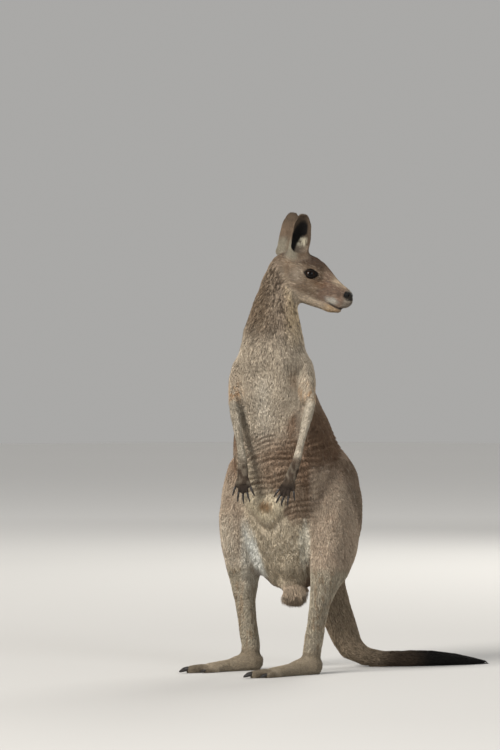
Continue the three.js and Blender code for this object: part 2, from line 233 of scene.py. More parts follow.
# ---------------- numbers and noise
def step(x, low, high):
    """0 at low and 1 at high, smooth between them. High may be the smaller of the two."""
    t = np.clip((x - low) / (high - low), 0, 1)
    return t * t * (3 - 2 * t)


def band(x, start, full, fade, end):
    """1 from full to fade, falling smoothly to 0 at start and at end."""
    return step(x, start, full) * step(x, end, fade)


def bell(x, middle, width):
    """1 at the middle, with a bell's smooth fall on both sides."""
    return np.exp(-(((x - middle) / width) ** 2))


def spot(points, centre, radius):
    """1 at a place, falling smoothly to 0 at the radius, which may differ by axis."""
    away = np.linalg.norm((points - np.asarray(centre)) / np.asarray(radius, float), axis=1)
    return step(away, 1, 0)


SCATTER = np.array([374761393, 668265263, 1274126177])  # primes, so that neighbours differ
SEED_PRIME = 982451653


def lattice(cell, seed):
    """A number from -1 to 1 for each cell, as if drawn at random."""
    h = cell @ SCATTER + seed * SEED_PRIME
    h = (h ^ (h >> 13)) * SCATTER[2]
    h ^= h >> 16
    return (h & 0xFFFF) / 32767.5 - 1


def noise(points, size, seed=0):
    """Smooth noise from -1 to 1 with cells of the given size, which may differ by axis."""
    p = points / np.asarray(size, float)
    cell = np.floor(p).astype(np.int64)
    f = p - cell
    f = f * f * (3 - 2 * f)
    total = np.zeros(len(p))
    for corner in np.ndindex(2, 2, 2):
        weight = np.prod(np.where(corner, f, 1 - f), axis=1)
        total += weight * lattice(cell + np.array(corner), seed)
    return total


def unit(v):
    return v / (np.linalg.norm(v, axis=1)[:, None] + 1e-12)


def linear(code):
    """A colour written as sRGB hex, in linear light."""
    srgb = np.array([int(code[i:i + 2], 16) for i in (1, 3, 5)]) / 255
    return np.where(srgb <= 0.04045, srgb / 12.92, ((srgb + 0.055) / 1.055) ** 2.4)


# ---------------- meshes
class Surface:
    """A closed mesh of quads with what smoothing needs."""

    def __init__(self, points, quads):
        self.points = points
        self.quads = quads
        start = quads.ravel()
        end = np.roll(quads, -1, axis=1).ravel()
        order = np.argsort(start, kind="stable")
        self.near = end[order]
        self.count = np.bincount(start, minlength=len(points))
        self.first = np.concatenate([[0], np.cumsum(self.count)[:-1]])

    def average(self, values):
        return np.add.reduceat(values[self.near], self.first, axis=0) / self.count[:, None]

    def relax(self, values, steps, weight=1.0):
        for _ in range(steps):
            values = values + weight * (self.average(values) - values)
        return values

    def normals(self):
        a, b, c, d = (self.points[self.quads[:, k]] for k in range(4))
        face = np.cross(c - a, d - b)
        total = np.zeros_like(self.points)
        for axis in range(3):
            weights = np.repeat(face[:, axis], 4)
            total[:, axis] = np.bincount(self.quads.ravel(), weights, minlength=len(self.points))
        return unit(total)


def new_object(name, points, faces):
    mesh = bpy.data.meshes.new(name)
    sides = faces.shape[1]
    mesh.vertices.add(len(points))
    mesh.vertices.foreach_set("co", np.ascontiguousarray(points, np.float32).ravel())
    mesh.loops.add(faces.size)
    mesh.loops.foreach_set("vertex_index", np.ascontiguousarray(faces, np.int32).ravel())
    mesh.polygons.add(len(faces))
    mesh.polygons.foreach_set("loop_start", np.arange(0, faces.size, sides, dtype=np.int32))
    mesh.update(calc_edges=True)
    mesh.shade_smooth()
    obj = bpy.data.objects.new(name, mesh)
    bpy.context.scene.collection.objects.link(obj)
    return obj


def applied(obj):
    """Bakes the object's modifiers into its mesh."""
    bpy.context.view_layer.update()
    mesh = bpy.data.meshes.new_from_object(obj.evaluated_get(bpy.context.evaluated_depsgraph_get()))
    old = obj.data
    obj.modifiers.clear()
    obj.data = mesh
    bpy.data.meshes.remove(old)
    return obj


def discard(obj):
    mesh = obj.data
    bpy.data.objects.remove(obj)
    bpy.data.meshes.remove(mesh)


def voxel_surface(points, triangles, voxel):
    """The outer surface of overlapping closed solids, as quads about one voxel across."""
    obj = new_object("voxels", points, triangles)
    modifier = obj.modifiers.new("remesh", "REMESH")
    modifier.mode = "VOXEL"
    modifier.voxel_size = voxel
    mesh = applied(obj).data
    out = read(mesh.vertices, "co", 3).astype(float)
    quads = read(mesh.loops, "vertex_index", 1, np.int32).reshape(-1, 4)
    discard(obj)
    return Surface(out, quads)


def set_colours(obj, colours):
    attribute = obj.data.color_attributes.new("coat", "FLOAT_COLOR", "POINT")
    rgba = np.ones((len(colours), 4), np.float32)
    rgba[:, :3] = np.clip(colours, 0, 1)
    attribute.data.foreach_set("color", rgba.ravel())


# ---------------- the fused skin
def smoothed(surface, strength):
    """The surface's points, smoothed more where strength is nearer to 1."""
    obj = new_object("smooth", surface.points, surface.quads)
    group = obj.vertex_groups.new(name="strength")
    grades = 40
    grade = np.round(np.sqrt(strength) * grades).astype(int)
    for g in np.unique(grade):
        group.add(np.nonzero(grade == g)[0].tolist(), float(g / grades) ** 2, "REPLACE")
    modifier = obj.modifiers.new("smooth", "SMOOTH")
    modifier.factor = 0.95
    modifier.iterations = SMOOTHING_STEPS
    modifier.vertex_group = "strength"
    out = read(applied(obj).data.vertices, "co", 3).astype(float)
    discard(obj)
    return out


def carried(source, values, points):
    """Values at the source surface's vertices, read at the places nearest to other points."""
    tree = BVHTree.FromPolygons(source.points.tolist(), source.quads.tolist())
    corners = source.quads[[tree.find_nearest(Vector(p))[2] for p in points]]
    away = np.linalg.norm(source.points[corners] - points[:, None], axis=2)
    weights = 1 / (away**2 + 1)
    weights /= weights.sum(1)[:, None]
    return (values[corners] * weights[:, :, None]).sum(1)


def grown_flesh():
    """All flesh solids, grown over the cuts between them: points, triangles and their regions."""
    points, triangles, regions = [], [], []
    total = 0
    for node in FLESH:
        p, t = cad_mesh(node)
        corner = p[t]
        face = np.cross(corner[:, 1] - corner[:, 0], corner[:, 2] - corner[:, 0])
        normal = np.zeros_like(p)
        for k in range(3):
            np.add.at(normal, t[:, k], face)
        points.append(p + SEAM_GROWTH * unit(normal))
        triangles.append(t + total)
        regions += [REGION_NAMES.index(region_of(node))] * len(t)
        total += len(p)
    return np.concatenate(points), np.concatenate(triangles), np.array(regions)


def fused_flesh():
    """A fine surface round all flesh solids with its points' shares in the regions, which of them
    stand on the floor, and a coarse surface."""
    points, triangles, regions = grown_flesh()
    tree = BVHTree.FromPolygons(points.tolist(), triangles.tolist())
    rough = voxel_surface(points, triangles, COARSE_VOXEL)
    nearest = [tree.find_nearest(Vector(p))[2] for p in rough.points]
    rough_shares = np.zeros((len(rough.points), len(REGIONS)))
    rough_shares[np.arange(len(nearest)), regions[nearest]] = 1
    rough_shares = rough.relax(rough_shares, 14)
    fine = voxel_surface(points, triangles, VOXEL)
    fine_shares = carried(rough, rough_shares, fine.points)
    on_floor = fine.points[:, 2] < 1.5
    strength = fine_shares @ TRAITS[:, SMOOTHING]
    strength += 0.7 * crease(fine_shares, ["head", "neck"], ["ear"])
    strength += 0.55 * crease(fine_shares, ["shank"], ["foot"])
    strength += 0.7 * crease(fine_shares, ["trunk", "thigh"], ["scrotum"])
    fine.points = smoothed(fine, np.clip(strength, 0, 1))
    fine.points[on_floor, 2] = np.minimum(fine.points[on_floor, 2], 0.8)
    return fine, fine_shares, on_floor, rough


def share(shares, *names):
    return shares[:, [REGION_NAMES.index(n) for n in names]].sum(1)


def crease(shares, one, other):
    """1 along the line where two regions meet, 0 away from it."""
    return np.clip(4 * share(shares, *one) * share(shares, *other), 0, 1)


def mouth_line(s):
    """The mouth's height at a place along the head."""
    return np.interp(s, [110, 145, 160, 185, 209, 217], [-42, -38, -38, -42, -39, -34])


def eye_almond(s, v, length, height):
    """Above 0 inside an almond round the eye, its front corner a little raised."""
    along = s - 81.5
    up = v - 18.0 - 0.167 * along
    return 1 - (along / length) ** 2 - np.abs(up) / height


def belly_tuft(points):
    """The cream tuft low on the belly, shaped like a broad V: 1 inside it, 1 in its shade,
    and how far it swells."""
    front, left = around_spine(points)
    z = points[:, 2]
    edge = z - 390 - 1.2 * np.sqrt((left + 4) ** 2 + 24**2)
    ahead = step(front, 40, 90)
    inside = ahead * step(z, 505, 470) * step(np.abs(left + 4), 66, 50)
    swell = inside * step(edge, -26, 26)
    inside = inside * step(edge + 7 * noise(points, (5, 5, 20), 19), -10, 12)
    shade = ahead * bell(edge, -8, 8) * step(z, 475, 440)
    return inside, shade, swell


def waist_folds(points, shares):
    """Folds of skin round the waist: how strong they are, and their height from -1 to 1."""
    _, left = around_spine(points)
    z = points[:, 2]
    wave = z - 0.25 * left + 16 * noise(points, 55, 3)
    low = 485 - 75 * step(left, 20, 60)
    strength = share(shares, "trunk") * band(z, low, low + 50, 620, 740)
    strength *= step(left, -120, -30) * np.clip(0.6 + noise(points, (40, 40, 24), 4), 0, 1)
    return strength, np.sin(wave * 2 * math.pi / 15)


# The head's relief: the place in its frame, the radius and the height of each swelling.
HEAD_RELIEF = (
    ((90, 33, 38), (24, 16, 12), 2.6),  # brow
    ((58, 50, -8), (34, 20, 20), 2.4),  # cheekbone
    ((48, 46, -42), (30, 20, 26), 2.2),  # jaw muscle
    ((118, 37, 4), (22, 16, 18), -2.6),  # hollow before the eye
    ((186, 22, -20), (24, 14, 16), 2.0),  # whisker pad
    ((150, 28, 26), (34, 10, 12), -1.2),  # side of the nose bridge
    ((66, 44, 34), (22, 18, 14), -1.6),  # temple
)


def head_relief(points, shares):
    """The face's swellings and hollows, the mouth, and the hair behind the ears."""
    s, l, v = head_frame(points)
    sides = np.abs(l)
    on_head = share(shares, "head", "jaw")
    rise = np.zeros(len(points))
    for middle, radius, height in HEAD_RELIEF:
        rise += on_head * height * spot(np.column_stack([s, sides, v]), middle, radius)
    rise -= on_head * 3.4 * bell(v, mouth_line(s), 1.8) * step(s, 104, 120) * step(sides, 4, 9)
    whole = np.column_stack([s, l, v])
    rise += 5.0 * crease(shares, ["head", "neck"], ["ear"]) * step(s, 24, 4)
    rise += 6.5 * spot(whole, (-32, 30, 30), (24, 32, 30))
    rise -= 3.0 * spot(whole, (-46, 0, -12), (34, 60, 44)) * share(shares, "neck", "head")
    return rise


def joint_relief(points, normals, shares):
    """The creases where limbs leave the trunk, the hip, and the filled groin."""
    front, left = around_spine(points)
    z = points[:, 2]
    across = points @ CAMERA_RIGHT
    ahead = step(front, -20, 60)
    hip = band(across, 54, 84, 130, 190) * band(z, 380, 450, 545, 610)
    above_sac = band(z, 232, 256, 265, 345) * step(np.abs(across - 22), 52, 8)
    above_sac *= (1 - share(shares, "scrotum")) * step(normals @ CAMERA_SIDE, 0.0, 0.5)
    rise = 6.0 * hip * share(shares, "trunk") * ahead + 7.0 * above_sac
    rise -= (4.0 + 2.5 * step(left, -20, 20)) * ahead * crease(shares, ["trunk"], ["thigh"])
    rise -= 4.5 * crease(shares, ["trunk"], ["upper_arm"]) * step(z, 880, 820)
    rise += 4.0 * crease(shares, ["trunk", "thigh"], ["scrotum"])
    rise -= 2.0 * crease(shares, ["neck"], ["jaw"])
    return rise


def body_relief(points, shares):
    """The waist's folds, breast and belly, and the muscles of the thighs."""
    front, left = around_spine(points)
    z = points[:, 2]
    trunk, thigh = share(shares, "trunk"), share(shares, "thigh")
    fold_strength, fold_height = waist_folds(points, shares)
    chest = trunk * band(z, 700, 760, 840, 900) * step(front, 20, 60)
    navel = step(front, 40, 90) * spot(np.column_stack([left, z]), (2, 382), (12, 22))
    rise = 1.7 * fold_strength * fold_height
    rise += chest * (3.0 * bell(np.abs(left), 36, 22) - 2.0 * bell(left, 0, 12))
    rise += trunk * (8.0 * belly_tuft(points)[2] - 1.2 * navel)
    turn = np.degrees(np.arctan2(left, front))
    for to_side in (turn, -turn):  # a groove down each thigh
        rise -= 2.6 * thigh * bell(to_side + 0.12 * (z - 450), 96, 9) * step(z, 320, 400)
    rise += 1.4 * (trunk + thigh) * noise(points, (46, 46, 70), 5)
    rise += 0.8 * (trunk + thigh + share(shares, "neck", "tail")) * noise(points, (20, 20, 34), 6)
    rise += 0.35 * share(shares, "shank", "foot", "forearm", "head") * noise(points, 11, 8)
    return rise


def sculpted(points, normals, shares):
    """How far each point moves out along its normal, in millimetres."""
    joints = joint_relief(points, normals, shares)
    return head_relief(points, shares) + joints + body_relief(points, shares)


# ---------------- markings and painted light
BACK_BROWN = linear("#7a6049")
BACK_GREY = linear("#7b6c5b")
FLANK_BROWN = linear("#7f6855")
FLANK_SHADE = linear("#5d4837")
SHOULDER = linear("#ac9a87")
RUST = linear("#9c7a58")
CHEST = linear("#b0a391")
CHEST_LINE = linear("#c9c0b1")
BELLY = linear("#b8ab96")
BELLY_STRAND = linear("#d3c8b4")
BELLY_TUFT = linear("#dacdb3")
BELLY_ORANGE = linear("#8a6740")
FOLD_SHADE = linear("#594331")
NAPE = linear("#6f5f4e")
NECK_SIDE = linear("#8a7b6b")
NECK_FLECK = linear("#a89883")
THROAT = linear("#c4b092")
DARK_FLECK = linear("#43362a")
RUMP = linear("#4c3b2c")
THIGH = linear("#ae9d8a")
# painted light for the right thigh's side towards the camera
THIGH_PAINTED_LIGHT = linear("#cbc1b0")
INNER_THIGH = linear("#d2ccbf")
# painted highlight on the left thigh's front edge, over the crease
THIGH_PAINTED_HIGHLIGHT = linear("#d8d3c4")
WHITE_STREAK = linear("#ecece5")
SHANK = linear("#a69c8a")
SHANK_STRAND = linear("#80694f")
FOOT = linear("#8a7e6c")
FOOT_STRAND = linear("#6b5f4c")
SCROTUM = linear("#918271")
TAUPE = linear("#9a8875")
TAIL = linear("#857663")
TAIL_BROWN = linear("#43372c")
TAIL_BLACK = linear("#0d0a08")
UPPER_ARM = linear("#a99b89")
# painted light for the left upper arm's side towards the camera
ARM_PAINTED_LIGHT = linear("#bfb29f")
ARM_RUST = linear("#a98258")
FOREARM = linear("#a89e8e")
FOREARM_STRAND = linear("#766b5c")
PALE_FOREARM = linear("#c4b9a8")
HAND = linear("#40352b")
HAND_STRAND = linear("#7b7163")
FINGER = linear("#2b221b")
CHEEK = linear("#71604f")
CHEEK_GREY = linear("#827668")
CROWN = linear("#45352a")
BEHIND_BROW = linear("#5b4a3c")
BROW = linear("#453629")
BEFORE_EYE = linear("#644832")
EYE_RIM = linear("#17100b")
NOSE_SIDE = linear("#b09f88")
NOSE_BLACK = linear("#0d0a08")
MUZZLE = linear("#735f51")
MUZZLE_TIP = linear("#7f776c")
WHISKER_PAD = linear("#4b4037")
LIP = linear("#b3b1a8")
CHIN = linear("#a58d6d")
JAW = linear("#9f907d")
FACE_FLECK = linear("#b3a795")
EAR_BACK = linear("#665647")
EAR_BASE = linear("#7c7668")
EAR_RIM = linear("#493d31")
EAR_FLOOR = linear("#75685a")
EAR_CREAM = linear("#d6cdb6")
# painted shade deep inside the ears' cups
EAR_CUP_SHADE = linear("#090604")


def mixed(colour, other, amount):
    """A colour with another laid over it, which alone shows where the amount is 1."""
    amount = np.clip(amount, 0, 1)[:, None]
    return colour * (1 - amount) + other * amount


def layered(colour, *layers):
    """A colour with others laid over it in turn, each given with its amount."""
    for other, amount in layers:
        colour = mixed(colour, other, amount)
    return colour


class Coat:
    """Places on the skin, and what the coat's colour there depends on."""

    def __init__(self, points, normals, shares):
        self.points, self.normals, self.shares = points, normals, shares
        self.front, self.left = around_spine(points)
        self.angle = np.degrees(np.arctan2(np.abs(self.left), self.front))
        self.z = points[:, 2]
        self.across = points @ CAMERA_RIGHT
        self.nearer = points @ CAMERA_SIDE
        self.seen = normals @ CAMERA_SIDE
        self.head = head_frame(points)
        self.blur = noise(points, 34, 11)
        self.fleck = noise(points, (6, 6, 12), 12)
        self.fine_fleck = noise(points, (3.8, 3.8, 8), 13)
        self.strand = noise(points, (5, 5, 26), 14)

    def within(self, *names):
        """1 inside the regions named, soft at their borders."""
        return step(share(self.shares, *names), 0.12, 0.88)


def trunk_front(p):
    """The pale chest and belly, brown at the waist, with the tuft low down and painted shade beneath it.
    """
    z, left = p.z, p.left
    in_tuft, shade_under_tuft, _ = belly_tuft(p.points)
    brown_from = 490 - 95 * step(left, 15, 60)
    brown_belly = band(z, brown_from, brown_from + 50, 600, 700) * step(left + 20 * p.blur, -60, 20)
    strands = noise(p.points, (6, 6, 90), 23) + 0.4 * noise(p.points, (22, 22, 60), 24)
    orange = spot(np.column_stack([left, z]), (-2, 464), (34, 26)) + 0.3 * p.strand
    return layered(
        BELLY,
        (CHEST, step(z, 520, 640)),
        (CHEST_LINE, 0.6 * bell(left, -6, 26) * band(z, 600, 680, 780, 850)),
        (FLANK_BROWN, 0.8 * brown_belly),
        (BELLY_STRAND, 0.5 * step(strands, 0.0, 0.9) * step(z, 470, 420)),
        (BELLY_TUFT, 0.85 * in_tuft),
        (BELLY_ORANGE, 0.8 * step(orange, 0.1, 0.9)),
        # painted shade beneath the belly's tuft
        (BACK_BROWN, 0.15 * shade_under_tuft),
    )


def trunk_coat(p):
    """Pale in front, brown on the flanks and back. The pale field is narrow at the waist."""
    z, angle, blur = p.z, p.angle, p.blur
    to_left = np.interp(
        z, [250, 400, 480, 560, 600, 700, 740, 800, 900], [58, 54, 44, 34, 22, 26, 50, 86, 112]
    )
    to_right = np.interp(z, [250, 400, 480, 560, 650, 720, 800, 900], [62, 58, 50, 46, 44, 56, 86, 112])
    pale_to = np.where(p.left > 0, to_left, to_right)
    fold_strength, fold_height = waist_folds(p.points, p.shares)
    shoulder = step(z + 20 * blur, 690, 820) * (1 - 0.55 * step(angle, 110, 150))
    return layered(
        BACK_BROWN,
        (FLANK_BROWN, step(angle, 165, 110) + 0.25 * blur),
        (BACK_GREY, 0.7 * step(angle + 20 * blur, 120, 150)),
        (SHOULDER, shoulder),
        (trunk_front(p), step(angle + 12 * blur + 6 * p.fleck, pale_to + 16, pale_to - 12)),
        (FOLD_SHADE, 0.65 * fold_strength * step(fold_height, -0.1, -0.95)),
        (DARK_FLECK, 0.4 * band(z, 800, 850, 900, 960) * step(p.fine_fleck, 0.0, 0.6)),
        (RUST, 0.45 * spot(p.points, (112, -70, 812), (34, 34, 44))),
        (RUST, 0.45 * spot(p.points, (-48, -148, 800), (34, 34, 40))),
    )


def neck_coat(p):
    """Brown at the nape, paler at the throat, with dark flecks."""
    flecks = p.fine_fleck + 0.5 * noise(p.points, 17, 16)
    return layered(
        NAPE,
        (NECK_SIDE, step(p.across, -66, -16)),
        (THROAT, step(p.across, -14, 22) * step(p.front, -30, 20)),
        (DARK_FLECK, 0.75 * step(flecks, 0.1, 0.6)),
        (NECK_FLECK, 0.4 * step(p.fine_fleck, -0.2, -0.7)),
    )


def inner_sides(p):
    """1 on the inner sides of both legs."""
    inner_left = step(-p.normals[:, 0], -0.75, -0.1) * step(p.across, 82, 52)
    inner_right = step(p.normals[:, 0], -0.1, 0.4) * step(p.across, -132, -114)
    return np.where(p.points[:, 0] > -10, inner_left, inner_right)


def thigh_coat(p):
    """Taupe, dark at the back of the rump and nearly white on the inner side, with painted light on the
    right thigh's side towards the camera.
    """
    z, inner = p.z, inner_sides(p)
    # painted light: the right thigh paler where it faces the camera
    painted_light_right = step(p.points[:, 0], -70, -120) * step(p.seen, -0.2, 0.6)
    return layered(
        THIGH,
        (RUMP, step(p.angle, 122, 156)),
        (FLANK_BROWN, 0.6 * step(z + 12 * p.blur, 500, 580)),
        (THIGH_PAINTED_LIGHT, 0.65 * painted_light_right * step(z, 460, 400)),
        (INNER_THIGH, 0.95 * inner * step(p.angle, 120, 80) * step(z, 450, 400)),
        (FLANK_BROWN, 0.30 * step(p.fleck, 0.1, 0.7) * (1 - inner)),
    )


def hip_layers(p):
    """What lies over trunk and thighs: the flank's shade, the taupe hip with a dark patch behind
    it, a painted highlight on the left thigh's front edge over the crease, and the palest hair
    between the legs."""
    z, across, angle, blur, fleck, strand = p.z, p.across, p.angle, p.blur, p.fleck, p.strand
    trunk_share, both = share(p.shares, "trunk"), share(p.shares, "trunk", "thigh")
    flank = step(angle + 10 * blur, 48, 74) * step(z + 12 * blur, 815, 750)
    flank *= 1 - 0.6 * step(angle, 110, 150)
    taupe = step(across, 58, 78) * step(z + 10 * blur, 600, 540) * step(p.nearer, -40, 20)
    dark_from = np.interp(z, [300, 354, 424, 480, 536, 578, 620], [216, 210, 199, 182, 168, 154, 150])
    patch = step(across + 8 * fleck, dark_from - 14, dark_from + 16) * step(z + 10 * fleck, 620, 560)
    over_back = step(angle + 15 * blur, 108, 138) * step(z + 20 * blur, 720, 560)
    patch = np.maximum(patch, 0.8 * over_back) * step(z, 300, 430)
    painted_highlight = spot(np.column_stack([across, z]), (54, 356), (26, 105)) * step(p.nearer, 0, 30)
    streak_at = np.interp(z, [270, 396, 440], [-66, -104, -112])
    streak = step(np.abs(across - streak_at + 5 * strand), 24, 8) * step(z, 240, 280)
    streak *= step(z + 20 * strand, 425, 350) * step(p.seen, -0.1, 0.3)
    return (
        (FLANK_SHADE, 0.55 * flank * trunk_share),
        (THIGH, 0.85 * taupe * trunk_share),
        (RUMP, 0.58 * patch * both),
        # painted highlight along the left thigh's front edge, where the crease would lie in shade
        (THIGH_PAINTED_HIGHLIGHT, 0.8 * step(painted_highlight + 0.2 * strand, 0.05, 0.6)),
        (WHITE_STREAK, 0.95 * streak * both),
    )


def lower_leg_layers(p):
    """Shanks, feet, toes and scrotum."""
    inner = inner_sides(p) * step(p.z, 200, 300)
    shank = layered(SHANK, (SHANK_STRAND, 0.55 * step(p.strand, 0.0, 0.7)), (INNER_THIGH, 0.6 * inner))
    foot = mixed(FOOT, FOOT_STRAND, 0.5 * step(p.strand, 0, 0.8))
    toe = mixed(foot, HAND, 0.45 + 0.2 * p.fleck)
    sac = mixed(SCROTUM, TAUPE, 0.3 + 0.3 * p.fleck)
    # painted shade: the sac darker towards its bottom
    sac = mixed(sac, RUMP, 0.55 * step(p.z + 12 * p.fleck, 204, 184))
    on_sac = spot(p.points, (14, 20, 212), (84, 84, 66)) + 0.15 * p.strand
    return (
        (shank, p.within("shank")), (foot, p.within("foot")), (toe, p.within("toe")),
        (sac, 0.9 * step(on_sac, 0.05, 0.75)),
    )


def tail_coat(p):
    """Taupe at the root, then brown, then near-black."""
    run = along_tail(p.points)[1] + 0.03 * p.blur
    return layered(TAIL, (TAIL_BROWN, step(run, 0.50, 0.66)), (TAIL_BLACK, step(run, 0.66, 0.80)))


def arm_layers(p):
    """Upper arms with painted light on the left one's side towards the camera, pale forearms with grey
    strands, and dark hands with the darkest fingers.
    """
    x, z, strand = p.points[:, 0], p.z, p.strand
    upper_arm = layered(
        UPPER_ARM,
        # painted light: the left upper arm paler on its side towards the camera
        (ARM_PAINTED_LIGHT, 0.8 * step(p.seen, 0.0, 0.7) * step(x, 30, 80)),
        (ARM_RUST, 0.75 * step(z + 20 * p.fleck, 812, 770) * step(strand, -0.6, 0.5)),
    )
    forearm = layered(
        FOREARM,
        (FOREARM_STRAND, 0.5 * step(strand, 0, 0.7)),
        (PALE_FOREARM, 0.6 * step(x, 20, 60)),
        (HAND, 0.8 * step(z + 10 * p.blur, 604, 582)),
    )
    strands = noise(p.points, (9, 9, 16), 18) + 0.5 * p.fleck
    hand = layered(HAND, (HAND_STRAND, 0.55 * step(strands, -0.3, 0.4)), (FINGER, step(z, 536, 518)))
    return (upper_arm, p.within("upper_arm")), (forearm, p.within("forearm")), (hand, p.within("hand"))


def head_coat(p):
    """Brown above and before the eye, grey behind it, pale along the jaw."""
    s, l, v = p.head
    sides = np.abs(l)
    half = np.column_stack([s, sides, v])
    profile = np.column_stack([s, v])
    grizzle = noise(half, (6, 2.6, 2.6), 17)
    lip = spot(profile, (163, -29), (32, 15))
    eye_rim = step(eye_almond(s - 1, v, 23.5, 14.5), 0.0, 0.22) * step(sides, 20, 30)
    return layered(
        CHEEK,
        (CROWN, step(v + 5 * grizzle, 24, 46) * step(s, 126, 100)),
        (CHEEK_GREY, 0.9 * spot(half, (46, 48, 0), (36, 30, 44))),
        (MUZZLE, step(s, 105, 135)),
        (BEFORE_EYE, 0.8 * spot(half, (118, 38, 2), (40, 26, 20))),
        (NOSE_SIDE, 0.8 * step(s, 130, 160) * step(v, 10, 24)),
        (BROW, 0.9 * spot(half, (104, 34, 44), (17, 26, 17))),
        (BROW, 0.95 * spot(half, (112, 38, 20), (13, 18, 24))),
        (BEHIND_BROW, 0.7 * spot(half, (34, 40, 50), (32, 26, 18))),
        (WHISKER_PAD, 0.6 * spot(half, (174, 25, -6), (14, 16, 14))),
        (JAW, 0.85 * step(v, -32, -48) * step(s, 176, 150)),
        (MUZZLE_TIP, 0.8 * step(s, 186, 200)),
        (LIP, 0.8 * step(lip + 0.25 * grizzle, 0.0, 0.9)),
        (CHIN, 0.7 * step(v, mouth_line(s) - 1, mouth_line(s) - 6) * step(s, 140, 165)),
        (NOSE_BLACK, 0.95 * step(spot(profile, (205, -1), (22, 18)), 0.05, 0.35)),
        (NOSE_BLACK, 0.9 * bell(v, mouth_line(s), 3.0) * step(s, 146, 166)),
        (EYE_RIM, 0.95 * eye_rim),
        (DARK_FLECK, 0.30 * step(grizzle, 0.1, 0.6) * (1 - lip)),
        (FACE_FLECK, 0.30 * step(grizzle, -0.2, -0.7) * step(v, 60, 30)),
    )


def ear_layer(p, side):
    """A brown back, a near-black inside, which is painted shade deep in the cup, and cream hairs on the
    inner front edge.
    """
    f, faceward, out, _, _ = ear_frame(p.points, side)
    faceward = faceward + 0.3 * out
    inside = ear_inside(p.points, p.normals, side)
    cream = inside * band(f, 0.2, 0.32, 0.42, 0.50) * band(faceward, -14, -6, 12, 24)
    dark_to = np.interp(f, [0.05, 0.26, 0.42, 0.56, 0.83, 0.93], [-14, -9, -2, 17, 16, 7])
    top = 0.95 - 0.00045 * (faceward - 3) ** 2
    # painted shade: near-black deep in the ear's cup, away from its rim
    dark = inside * step(f, top, top - 0.16) * step(faceward, dark_to + 3, dark_to - 3)
    ear = layered(
        EAR_BACK,
        (EAR_RIM, 0.8 * step(f, 0.62, 0.85)),
        (EAR_BASE, 0.85 * step(f, 0.48, 0.28) * step(faceward, 6, -12)),
        (EAR_RIM, 0.8 * inside),
        (EAR_FLOOR, inside * step(f, 0.32, 0.2)),
        (EAR_CREAM, 0.95 * cream * step(p.fine_fleck + 0.2, -0.4, 0.4)),
        (EAR_CUP_SHADE, dark),
    )
    to_side = p.head[1] if side == "left" else -p.head[1]
    return ear, step(share(p.shares, "ear") * step(to_side, -4, 4), 0.15, 0.6)


def markings_and_painted_light(points, normals, shares):
    """The coat's colour in linear light at points on the skin, with painted light and shade in places."""
    p = Coat(points, normals, shares)
    colour = layered(
        trunk_coat(p),
        (neck_coat(p), p.within("neck") * step(p.z + 12 * p.blur, 885, 985)),
        (thigh_coat(p), p.within("thigh")),
        *hip_layers(p),
        *lower_leg_layers(p),
        (tail_coat(p), p.within("tail", "tail_end")),
        *arm_layers(p),
        (head_coat(p), p.within("head", "jaw")),
        ear_layer(p, "left"),
        ear_layer(p, "right"),
    )
    tone = 1 + 0.10 * noise(points, 15, 15) + 0.08 * p.fleck + 0.10 * p.strand
    return colour * tone[:, None]


# ---------------- the lie of the coat
def lie(points, normals, shares):
    """The direction in which hair lies at each point, along the skin."""
    front, left = around_spine(points)
    z = points[:, 2]
    turn = np.radians(np.interp(z, SPINE[:, 0], SPINE[:, 3]))
    sideways = np.column_stack([np.cos(turn), np.sin(turn), np.zeros(len(points))])
    backward = np.column_stack([-np.sin(turn), np.cos(turn), np.zeros(len(points))])
    down = np.tile(DOWN, (len(points), 1))
    ahead = step(front, 0, 60)[:, None]
    spread = np.clip(left / 90, -1, 1)[:, None]
    on_chest = band(z, 600, 680, 820, 900)[:, None]
    flow = down + (0.45 - 0.95 * on_chest) * ahead * spread * sideways + 0.25 * (1 - ahead) * backward
    tail_way, _ = along_tail(points)
    on_head = -HEAD_FORWARD + 0.35 * DOWN * step(head_frame(points)[2], 30, -20)[:, None]
    on_left = points[:, :1] > BETWEEN_LEGS
    foot_way = np.where(on_left, facing(FOOT_TURN["left"]), facing(FOOT_TURN["right"]))
    ways = {
        "thigh": down + 0.30 * backward,
        "foot": foot_way + 0.5 * down * step(z, 30, 70)[:, None],
        "toe": foot_way,
        "tail": tail_way,
        "tail_end": tail_way,
        "head": on_head,
        "jaw": on_head,
        "ear": -down + 0.2 * noise(points, 20, 20)[:, None],
    }
    total = np.zeros_like(points)
    for i, name in enumerate(REGION_NAMES):
        total += shares[:, i:i + 1] * unit(ways.get(name, flow))
    total += 0.16 * np.column_stack([noise(points, 48, 21 + k) for k in range(3)])
    total -= normals * (total * normals).sum(1)[:, None]
    return unit(total)


# ---------------- tufts
# A tuft's triangles, the places of its points on its patch of the unwrap, and their shades:
# darker at the root and on the lower sides as painted shade within the coat, paler at the tip.
LONG_TUFT = (
    [
        [0, 1, 4], [0, 4, 3], [1, 2, 5], [1, 5, 4], [2, 0, 3], [2, 3, 5], [3, 4, 6], [4, 5, 6], [5, 3, 6],
        [0, 2, 1],
    ],
    [[-1, -1], [1, -1], [0, -0.7], [-0.7, 0.1], [0.7, 0.1], [0, 0.3], [0, 1]],
    [0.62, 0.62, 0.68, 0.90, 0.90, 0.98, 1.16],
)
SHORT_TUFT = (
    [[0, 1, 3], [1, 2, 3], [2, 0, 3], [0, 2, 1]],
    [[-1, -1], [1, -1], [0, -0.4], [0, 1]],
    [0.80, 0.80, 0.86, 1.10],
)
PATCH = 0.0015  # half of a tuft's patch on the unwrap


